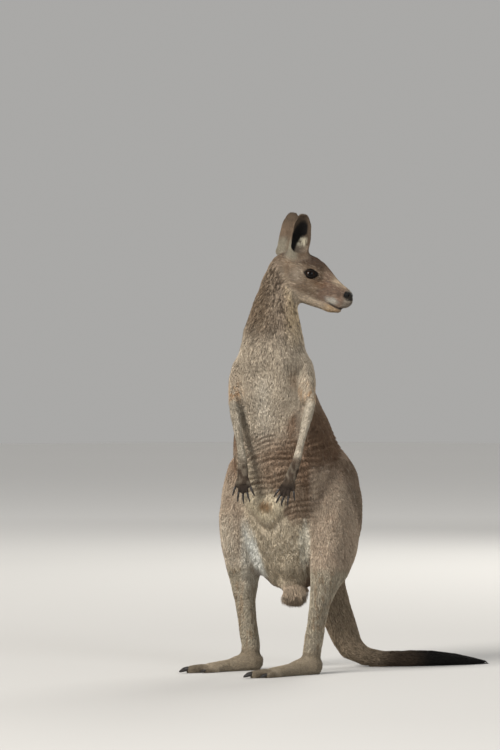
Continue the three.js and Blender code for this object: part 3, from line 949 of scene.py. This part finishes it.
def chart_of(surface):
    """A coarse copy of the skin with its unwrap: a tree of its triangles, and their corners and UVs."""
    obj = new_object("chart", surface.points, surface.quads)
    bpy.context.view_layer.objects.active = obj
    obj.select_set(True)
    bpy.ops.object.mode_set(mode="EDIT")
    bpy.ops.mesh.select_all(action="SELECT")
    bpy.ops.uv.smart_project(angle_limit=math.radians(66), island_margin=0.004)
    bpy.ops.object.mode_set(mode="OBJECT")
    mesh = obj.data
    mesh.calc_loop_triangles()
    corners = read(mesh.loop_triangles, "vertices", 3, np.int32)
    loops = read(mesh.loop_triangles, "loops", 3, np.int32)
    uv = read(mesh.uv_layers.active.data, "uv", 2)
    points = read(mesh.vertices, "co", 3)
    tree = BVHTree.FromPolygons(points.tolist(), corners.tolist())
    discard(obj)
    return tree, points[corners], uv[loops]


def chart_uv(chart, roots):
    """Each root's place on the unwrap."""
    tree, corners, uvs = chart
    found = [tree.find_nearest(Vector(p)) for p in roots]
    index = np.array([f[2] for f in found])
    at = np.array([f[0] for f in found])
    a, b, c = (corners[index, k] for k in range(3))
    ab, ac, ap = b - a, c - a, at - a
    d00, d01, d11 = (ab * ab).sum(1), (ab * ac).sum(1), (ac * ac).sum(1)
    d20, d21 = (ap * ab).sum(1), (ap * ac).sum(1)
    scale = np.maximum(d00 * d11 - d01 * d01, 1e-9)
    v = (d11 * d20 - d01 * d21) / scale
    w = (d00 * d21 - d01 * d20) / scale
    weights = np.clip(np.column_stack([1 - v - w, v, w]), 0, 1)
    return (uvs[index] * weights[:, :, None]).sum(1)


def tuft_points(short, ruffle, roots, normals, ways, length, width, lift):
    """The points of one tuft at each root, from its base to its tip."""
    sideways = np.cross(normals, ways)
    count = len(roots)
    curl = (noise(roots, 9, 31) * 0.10 + rng.normal(0, 0.07, count)) * length
    base = roots - normals * (0.25 * width)[:, None]
    tip = roots + ways * length[:, None] + sideways * curl[:, None]
    lift = lift * (0.85 + ruffle * noise(roots, (9, 9, 16), 32))
    tip += normals * (lift * rng.uniform(0.55, 1.0, count))[:, None]
    half = sideways * (width / 2)[:, None]
    ridge = normals * (width * 0.45)[:, None]
    rows = [base - half, base + half, base + ridge]
    if not short:
        middle = roots + ways * (0.5 * length)[:, None] + sideways * (0.35 * curl)[:, None]
        middle += normals * (lift * 0.62)[:, None]
        rows += [middle - 0.75 * half, middle + 0.75 * half, middle + 0.7 * ridge]
    points = np.stack([*rows, tip], 1)
    points[:, :, 2] = np.maximum(points[:, :, 2], FLOOR_GAP)
    return points


def grow(name, slot, short, ruffle, colours, varied, uv, *shape):
    """One coat piece: a tuft at each root."""
    tufts = tuft_points(short, ruffle, *shape)
    pattern, patch, shade = (np.array(part) for part in (SHORT_TUFT if short else LONG_TUFT))
    count, per = tufts.shape[:2]
    faces = (pattern[None] + per * np.arange(count)[:, None, None]).reshape(-1, 3)
    obj = new_object(name, place(tufts.reshape(-1, 3)), faces)
    own = np.exp(rng.normal(0, 1, count) * varied)
    tint = colours[:, None, :] * own[:, None, None] * shade[None, :, None]
    set_colours(obj, tint.reshape(-1, 3))
    layer = obj.data.uv_layers.new(name="OFBake")
    corner_uv = (uv[:, None] + PATCH * patch[None]).reshape(-1, 2)[faces.ravel()]
    layer.data.foreach_set("uv", np.ascontiguousarray(corner_uv, np.float32).ravel())
    obj.data.materials.append(coat_material)
    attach(obj, "root")


# ---------------- materials
def preset(node, **sockets):
    """Sets constants on a node's sockets, whose names have _ for a space here."""
    for socket, value in sockets.items():
        node.inputs[socket.replace("_", " ")].default_value = value


def material(name, roughness, **sockets):
    made = bpy.data.materials.new(name)
    made.use_nodes = True
    shader = made.node_tree.nodes["Principled BSDF"]
    preset(shader, Roughness=roughness, **sockets)
    return made, made.node_tree, shader


def add_node(tree, kind, links, **sockets):
    """A node with these constants, whose other sockets are fed by the outputs given in links."""
    node = tree.nodes.new("ShaderNode" + kind)
    preset(node, **sockets)
    for socket, output in links.items():
        tree.links.new(output, node.inputs[socket])
    return node


def mapped(tree, stretch):
    """The object's own coordinates, stretched."""
    own = add_node(tree, "TexCoord", {}).outputs["Object"]
    return add_node(tree, "Mapping", {"Vector": own}, Scale=stretch).outputs["Vector"]


def add_noise(tree, scale, detail=3.0, stretch=(1, 1, 1)):
    vector = {"Vector": mapped(tree, stretch)}
    return add_node(tree, "TexNoise", vector, Scale=scale, Detail=detail).outputs["Fac"]


def add_bump(tree, shader, height, distance):
    bump = add_node(tree, "Bump", {"Height": height}, Strength=1.0, Distance=distance)
    tree.links.new(bump.outputs["Normal"], shader.inputs["Normal"])


def ramp(tree, value, stops):
    """A colour ramp: stops are (place, linear colour)."""
    node = add_node(tree, "ValToRGB", {"Fac": value})
    elements = node.color_ramp.elements
    while len(elements) < len(stops):
        elements.new(0.5)
    for element, (at, colour) in zip(elements, stops):
        element.position = at
        element.color = (*colour, 1)
    return node.outputs["Color"]


def painted(name, roughness, fine, strength):
    """Hair or skin: the painted coat colour, broken up by fine noise."""
    made, tree, shader = material(name, roughness, Specular_IOR_Level=0.2)
    attribute = add_node(tree, "Attribute", {})
    attribute.attribute_name = "coat"
    low, high = 1 - strength, 1 + strength
    grey = ramp(tree, add_noise(tree, fine), [(0.3, (low,) * 3), (0.7, (high,) * 3)])
    multiply = add_node(tree, "Mix", {}, Factor=1.0)
    multiply.data_type = "RGBA"
    multiply.blend_type = "MULTIPLY"
    tree.links.new(attribute.outputs["Color"], multiply.inputs["A"])
    tree.links.new(grey, multiply.inputs["B"])
    tree.links.new(multiply.outputs["Result"], shader.inputs["Base Color"])
    return made, tree, shader


coat_material, _, _ = painted("hair", 0.72, 420, 0.16)
skin_material, skin_tree, skin_shader = painted("skin", 0.85, 260, 0.22)
add_bump(skin_tree, skin_shader, add_noise(skin_tree, 700, 4, (1, 1, 0.35)), 0.0008)


def two_tone(name, roughness, stops, scale, bump, stretch=(1, 1, 1), **sockets):
    """A material with two noisy tones, given as (place, hex) stops, and the noise's relief."""
    made, tree, shader = material(name, roughness, **sockets)
    value = add_noise(tree, scale, 4, stretch)
    colours = ramp(tree, value, [(at, linear(code)) for at, code in stops])
    tree.links.new(colours, shader.inputs["Base Color"])
    add_bump(tree, shader, value, bump)
    return made


horn_material = two_tone(
    "claw_horn", 0.38, [(0.3, "#0c0907"), (0.75, "#241c17")], 160, 0.0004, (1, 1, 0.25), Coat_Weight=0.1,
)
nose_material = two_tone(
    "nose_leather", 0.45, [(0.3, "#050403"), (0.7, "#110d0b")], 900, 0.0005, Specular_IOR_Level=0.25,
)
lid_material = two_tone(
    "eyelid", 0.65, [(0.3, "#070504"), (0.7, "#0f0b08")], 700, 0.0003, Specular_IOR_Level=0.12,
)


def eye_material():
    """Dark brown iris round a black pupil, under a wet surface."""
    made, tree, shader = material("eye_wet", 0.12, IOR=1.33, Specular_IOR_Level=0.22)
    own = add_node(tree, "TexCoord", {}).outputs["Object"]
    split = add_node(tree, "SeparateXYZ", {"Vector": own})
    depth = add_node(tree, "MapRange", {"Value": split.outputs["Z"]}, From_Min=0.006, From_Max=0.0145)
    stops = [(0.0, "#0f0a07"), (0.35, "#170e08"), (0.75, "#23150b"), (0.9, "#040303")]
    colours = ramp(tree, depth.outputs["Result"], [(at, linear(code)) for at, code in stops])
    tree.links.new(colours, shader.inputs["Base Color"])
    return made


# ---------------- skin and coat
def hang_scrotum(surface, shares):
    """Widens the scrotum over a narrow neck, and smooths the groin above it."""
    sideways = surface.points @ CAMERA_RIGHT - 18
    hanging = share(shares, "scrotum")
    narrow = 0.6 * bell(surface.points[:, 2], 227, 15) * np.clip(3 * hanging, 0, 1)
    wider = np.where(sideways > 0, 0.6, 0.35) * hanging + narrow
    surface.points += np.outer(wider * sideways, CAMERA_RIGHT)
    seen = np.column_stack([surface.points @ CAMERA_RIGHT, surface.points[:, 2]])
    groin = step(spot(seen, (20, 246), (72, 46)), 0.0, 0.5)[:, None]
    surface.points = surface.points * (1 - groin) + surface.relax(surface.points, 90, 0.9) * groin


surface, shares, on_floor, rough_surface = fused_flesh()
first_normals = surface.normals()
rise = sculpted(surface.points, first_normals, shares) - shares @ TRAITS[:, DEPTH] - SEAM_GROWTH
rise[on_floor] = 0
surface.points += first_normals * rise[:, None]
hang_scrotum(surface, shares)
surface.points[:, 2] = np.maximum(surface.points[:, 2], FLOOR_GAP)
soft_normals = unit(surface.relax(surface.normals(), 6))


def make_skin():
    """The fused skin, with fewer triangles where the coat is thick."""
    obj = new_object("skin", place(surface.points), surface.quads)
    set_colours(obj, markings_and_painted_light(surface.points, soft_normals, shares) * SKIN_SHADE)
    group = obj.vertex_groups.new(name="thin_out")
    body = 1 - np.clip(share(shares, "head", "jaw", "ear", "hand", "toe"), 0, 1)
    for low in np.arange(0.0, 1.0, 0.25):
        members = np.nonzero((body > low) & (body <= low + 0.25))[0]
        group.add(members.tolist(), float(low + 0.25), "REPLACE")
    modifier = obj.modifiers.new("fewer", "DECIMATE")
    modifier.ratio = 0.30
    modifier.vertex_group = "thin_out"
    modifier.vertex_group_factor = 1.0
    applied(obj)
    obj.data.shade_smooth()
    obj.data.materials.clear()
    obj.data.materials.append(skin_material)
    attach(obj, "root")
    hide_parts(*FLESH)


def bare(points, normals, shares):
    """Above 0.5 where no hair grows: soles, nose, eyelids and the mouth's edge."""
    s, l, v = head_frame(points)
    sole = step(points[:, 2], 5, 2) * step(normals[:, 2], -0.2, -0.6)
    eye = (eye_almond(s, v, 21, 14) > 0) & (np.abs(l) > 22)
    nose = spot(np.column_stack([s, v]), (207, -1), (17, 14)) > 0.06
    mouth = (np.abs(v - mouth_line(s)) < 2.4) & (s > 146) & (share(shares, "head", "jaw") > 0.5)
    return sole + eye + nose + mouth


def scattered():
    """Places on the skin for the tufts' roots, with the normals and the shares there."""
    quads = surface.quads
    corners = surface.points[quads]
    across, along = corners[:, 2] - corners[:, 0], corners[:, 3] - corners[:, 1]
    area = np.linalg.norm(np.cross(across, along), axis=1) / 2
    face_shares = shares[quads].mean(1)
    front, _ = around_spine(corners.mean(1))
    sparser = 1 + 0.14 * share(face_shares, "trunk") * step(front, 20, -40)
    wanted = area / ((face_shares @ TRAITS)[:, SPACING] * sparser) ** 2
    count = np.floor(wanted + rng.random(len(wanted))).astype(int)
    face = np.repeat(np.arange(len(quads)), count)
    u, w = rng.random(len(face)), rng.random(len(face))
    blend = np.column_stack([(1 - u) * (1 - w), u * (1 - w), u * w, (1 - u) * w])
    roots = (corners[face] * blend[:, :, None]).sum(1)
    root_normals = unit((soft_normals[quads[face]] * blend[:, :, None]).sum(1))
    root_shares = (shares[quads[face]] * blend[:, :, None]).sum(1)
    keep = bare(roots, root_normals, root_shares) < 0.5
    return roots[keep], root_normals[keep], root_shares[keep]


def longer(roots, shares):
    """How much longer than its region's hair each tuft is, from place to place."""
    front, _ = around_spine(roots)
    trunk = share(shares, "trunk")
    low_belly = trunk * step(roots[:, 2], 440, 380) * step(front, 20, 70)
    times = (1 - 0.35 * waist_folds(roots, shares)[0]) * (1 + 0.5 * trunk * belly_tuft(roots)[0])
    return times * (1 + 0.3 * low_belly)


def coat_pieces(roots, main):
    """Each coat piece's slot and which of the roots it takes, by their main region and place."""
    def of(*names):
        return np.isin(main, [REGION_NAMES.index(n) for n in names])

    left = roots[:, 0] > BETWEEN_LEGS
    head_left = (roots - HEAD_AT) @ HEAD_LEFT > 0
    front = around_spine(roots)[0] > 0
    high = roots[:, 2] > WAIST
    return {
        "coat_chest": ("coat_pale", of("trunk") & front & high),
        "coat_belly": ("coat_pale", of("trunk") & front & ~high),
        "coat_shoulders": ("coat_back", of("trunk") & ~front & high),
        "coat_rump": ("coat_back", of("trunk") & ~front & ~high),
        "coat_neck": ("coat_flank", of("neck")),
        "coat_thigh_left": ("coat_flank", of("thigh") & left),
        "coat_thigh_right": ("coat_flank", of("thigh") & ~left),
        "coat_shanks": ("coat_pale", of("shank", "scrotum")),
        "coat_tail": ("coat_back", of("tail")),
        "coat_tail_tip": ("coat_tail_tip", of("tail_end")),
        "coat_upper_arms": ("coat_flank", of("upper_arm")),
        "coat_forearms": ("coat_pale", of("forearm", "hand")),
        "coat_feet": ("coat_pale", of("foot", "toe")),
        "coat_face_left": ("coat_face", of("head", "jaw") & head_left),
        "coat_face_right": ("coat_face", of("head", "jaw") & ~head_left),
        "coat_ears": ("coat_back", of("ear")),
    }


def make_coat():
    """Tufts all over the skin, in sixteen pieces."""
    roots, root_normals, root_shares = scattered()
    ways = lie(roots, root_normals, root_shares)
    uv = chart_uv(chart_of(rough_surface), roots)
    own = root_shares @ TRAITS
    size = rng.uniform(0.75, 1.2, len(roots))
    size *= 1 + 1.3 * long_haired(roots) * share(root_shares, "ear")
    length = own[:, LENGTH] * size * longer(roots, root_shares)
    width = own[:, WIDTH] * rng.uniform(0.8, 1.15, len(roots))
    colours = markings_and_painted_light(roots + ways * (0.55 * length)[:, None], root_normals, root_shares)
    fields = (colours, own[:, VARIED], uv, roots, root_normals, ways, length, width, own[:, DEPTH])
    main = root_shares.argmax(1)
    is_short = np.isin(main, [REGION_NAMES.index(n) for n in SHORT_COATED])
    for name, (slot, here) in coat_pieces(roots, main).items():
        short = bool(is_short[here].mean() > 0.5)
        ruffle = 0.35 if name == "coat_neck" else 0.12
        grow(name, slot, short, ruffle, *(field[here] for field in fields))


# ---------------- eyes, nose and claws
def ring_faces(rings, sides):
    """Quads between neighbouring rings of points, the last joined to the first."""
    faces = []
    for i in range(rings):
        for j in range(sides):
            a, b = i * sides + j, i * sides + (j + 1) % sides
            c, d = ((i + 1) % rings) * sides + (j + 1) % sides, ((i + 1) % rings) * sides + j
            faces.append((a, b, c, d))
    return np.array(faces)


def aimed(obj, way, front):
    """Turns an object so that the given one of its axes lies along a direction."""
    obj.rotation_mode = "QUATERNION"
    obj.rotation_quaternion = Vector(way).to_track_quat(front, "Y")
    return obj


def make_eye(side):
    outward = 1 if side == "left" else -1
    forward, across, up = EYE_AT
    bpy.ops.mesh.primitive_uv_sphere_add(segments=48, ring_count=32, radius=EYE_RADIUS / 1000)
    ball = bpy.context.object
    ball.name = f"eyeball_{side}"
    for vertex in ball.data.vertices:
        cornea = max(0.0, vertex.co.z * 1000 / EYE_RADIUS - 0.72)
        vertex.co *= 1 + 0.22 * cornea * cornea
    aimed(ball, HEAD_LEFT * outward + HEAD_FORWARD * 0.12, "Z")
    ball.location = place(in_head(forward, across * outward, up))
    ball.data.shade_smooth()
    ball.data.materials.append(eye_surface)
    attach(ball, "root")
    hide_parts(f"eye_{side}")


# The lids' section: how far each of its points lies outside the opening, and its distance from
# the eye's middle.
LID_SECTION = (
    (0, 14.4), (0, 15.7), (0.6, 16.3), (2.2, 16.7), (4, 16.6), (6, 16.0), (7, 14.4), (5, 13.6),
)
LID_TURNS = 72
LID_LENGTH = 12.8  # half the opening's length
LID_ABOVE, LID_BELOW = 6.2, 8.0  # and its height above and below the middle


def make_lids(side):
    """One ring round an almond: nearly straight above, fuller below."""
    outward = 1 if side == "left" else -1
    forward, across, up = EYE_AT
    points = []
    for out, radius in LID_SECTION:
        for j in range(LID_TURNS):
            angle = 2 * math.pi * j / LID_TURNS
            c, s = math.cos(angle), math.sin(angle)
            sign, tall = (1, LID_ABOVE) if s > 0 else (-1, LID_BELOW)
            a = (LID_LENGTH + 1.0 * out) * c
            b = sign * (tall * abs(s) ** 0.85 + 0.8 * out * abs(s)) + 1.6 + 0.167 * a
            depth = math.sqrt(max(radius**2 - a**2 - b**2, 20.0))
            points.append(in_head(forward + a, (across + depth) * outward, up + b))
    faces = ring_faces(len(LID_SECTION), LID_TURNS)
    if outward < 0:
        faces = faces[:, ::-1]
    lids = new_object(f"eyelids_{side}", place(np.array(points)), faces)
    lids.data.materials.append(lid_material)
    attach(lids, "root")


def rounded(node, steps):
    """A CAD node's surface with its edges smoothed."""
    made = voxel_surface(*cad_mesh(node), FINE_VOXEL)
    made.points = made.relax(made.points, steps, 0.6)
    return made


def make_nose():
    pad = rounded("nose", 12)
    s, l, v = head_frame(pad.points)
    nostril = spot(np.column_stack([s, np.abs(l), v]), (204, 18, 1), (9, 9, 4.5))
    middle = bell(l, 0, 1.0) * step(v, 6, 0)
    pad.points += pad.normals() * (0.6 - 4.5 * nostril - 0.8 * middle)[:, None]
    nose = new_object("nose_pad", place(pad.points), pad.quads)
    nose.data.materials.append(nose_material)
    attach(nose, "root")
    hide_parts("nose")


def make_claw(node):
    horn = rounded(node, 6)
    horn.points += 1.2 * horn.normals()
    horn.points[:, 2] = np.maximum(horn.points[:, 2], 0.3)
    claw = new_object(f"{node}_horn", place(horn.points), horn.quads)
    claw.data.materials.append(horn_material)
    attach(claw, "root")
    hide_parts(node)


eye_surface = eye_material()
make_skin()
make_coat()
for side in ("left", "right"):
    make_eye(side)
    make_lids(side)
make_nose()
for node in CLAWS:
    make_claw(node)

# ---------------- studio
CAMERA_DISTANCE = 7870
CAMERA_HEIGHT = 704
LENS = 135
SENSOR = 36
FOCUS = LENS / SENSOR * 750  # the focal length in pixels of the photograph, 750 of them high
LOOK_LEFT = 35 / FOCUS  # the animal's axis lies this far right of the view's middle
LOOK_UP = 45 / FOCUS  # and the horizon this far below it
LIGHTS_AIM = place((0, 0, 600))


def make_floor():
    """A floor that grows paler away from the animal: painted shade darkens it near the animal, where the
    lights fall brightest.
    """
    bpy.ops.mesh.primitive_plane_add(size=120)
    floor = bpy.context.object
    floor.name = "studio_floor"
    made, tree, shader = material("studio_floor", 0.9)
    nearness = add_node(tree, "TexGradient", {"Vector": mapped(tree, (1 / 45, 1 / 45, 1 / 45))})
    nearness.gradient_type = "SPHERICAL"
    stops = [
        (0.0, (0.97, 0.96, 0.94)), (0.72, (0.90, 0.89, 0.87)), (0.86, (0.6, 0.59, 0.57)),
        (0.97, (0.46, 0.45, 0.435)),
    ]
    tree.links.new(ramp(tree, nearness.outputs["Fac"], stops), shader.inputs["Base Color"])
    floor.data.materials.append(made)


def make_light(name, direction, distance, size, power, colour):
    data = bpy.data.lights.new(name, "AREA")
    data.size = size
    data.energy = power
    data.color = colour
    light = aimed(bpy.data.objects.new(name, data), direction, "Z")
    light.location = Vector(LIGHTS_AIM) + Vector(direction).normalized() * distance
    bpy.context.scene.collection.objects.link(light)


def make_camera():
    """The photograph's view: level, from the animal's front left."""
    data = bpy.data.cameras.new("camera")
    data.lens = LENS
    data.sensor_width = SENSOR
    data.clip_end = 100
    look = -CAMERA_SIDE - CAMERA_RIGHT * LOOK_LEFT + [0, 0, LOOK_UP]
    camera = aimed(bpy.data.objects.new("camera", data), look, "-Z")
    camera.location = place(CAMERA_SIDE * CAMERA_DISTANCE + [0, 0, CAMERA_HEIGHT])
    bpy.context.scene.collection.objects.link(camera)
    bpy.context.scene.camera = camera


def make_world():
    world = bpy.data.worlds.new("studio")
    bpy.context.scene.world = world
    world.use_nodes = True
    background = world.node_tree.nodes["Background"]
    background.inputs["Color"].default_value = (0.80, 0.79, 0.77, 1)
    background.inputs["Strength"].default_value = 0.50


make_floor()
make_camera()
make_light("key", CAMERA_SIDE * 0.8 - CAMERA_RIGHT * 0.9 + [0, 0, 0.62], 14.0, 5.0, 3200, (1, 0.97, 0.92))
make_light("fill", CAMERA_SIDE * 0.9 + CAMERA_RIGHT * 0.8 + [0, 0, 0.4], 14.0, 7.0, 690, (0.93, 0.97, 1))
make_light("rim", -CAMERA_SIDE + CAMERA_RIGHT * 0.5 + [0, 0, 0.7], 8.0, 4.0, 330, (1, 0.98, 0.94))
make_world()
bpy.context.scene.view_settings.view_transform = "Standard"
